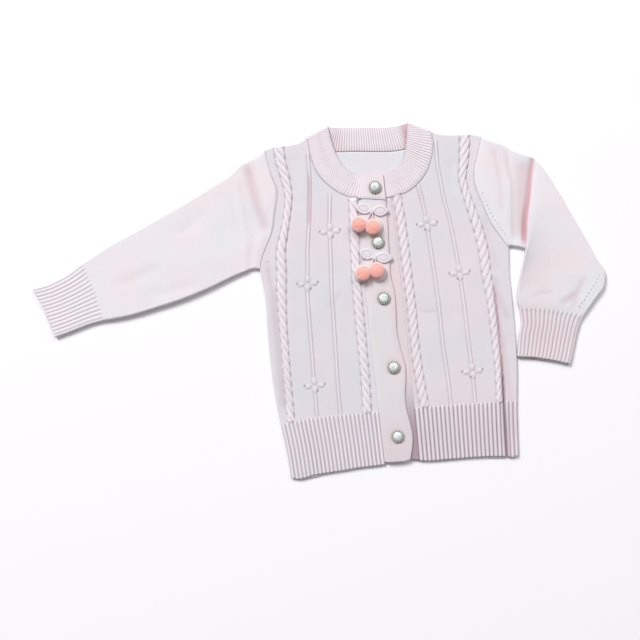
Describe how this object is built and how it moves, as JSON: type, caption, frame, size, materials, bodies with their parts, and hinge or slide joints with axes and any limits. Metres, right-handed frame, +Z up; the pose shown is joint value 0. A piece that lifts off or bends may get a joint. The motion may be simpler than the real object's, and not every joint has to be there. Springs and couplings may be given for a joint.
{
  "type": "child's knitted cardigan, laid flat",
  "caption": "Child's knitted cardigan laid flat: ribbed neckband, hem and cuffs, rope cables down both fronts, pearly buttons and cherry appliques.",
  "frame": {"origin": "on the surface that it lies on, under the centre front at underarm height", "axes": "+X to the wearer's left, along the spread sleeves; +Y up the centre front to the neck; +Z up from the surface"},
  "size_m": [0.6458, 0.3966, 0.0191],
  "materials": {
    "knit": "fine stocking-stitch knit, very pale pink, matt",
    "ribbing": "ribbed knit, pale pink, matt",
    "rim": "aged brass, beaded edge",
    "pearl": "pearly aqua white, glossy",
    "pompom": "fluffy coral yarn"
  },
  "bodies": {
    "root": {"back": "knit", "front_right": "knit", "front_left": "knit", "band_right": "knit", "band_left": "knit", "neckband": "ribbing", "sleeve_right": "knit", "sleeve_left": "knit", "cherry_upper": "knit", "cherry_lower": "knit", "pompom_upper_right": "pompom", "pompom_upper_left": "pompom", "pompom_lower_right": "pompom", "pompom_lower_left": "pompom", "button_1_rim": "rim", "button_1_pearl": "pearl", "button_2_rim": "rim", "button_2_pearl": "pearl", "button_3_rim": "rim", "button_3_pearl": "pearl", "button_4_rim": "rim", "button_4_pearl": "pearl", "button_5_rim": "rim", "button_5_pearl": "pearl"}
  },
  "joints": []
}
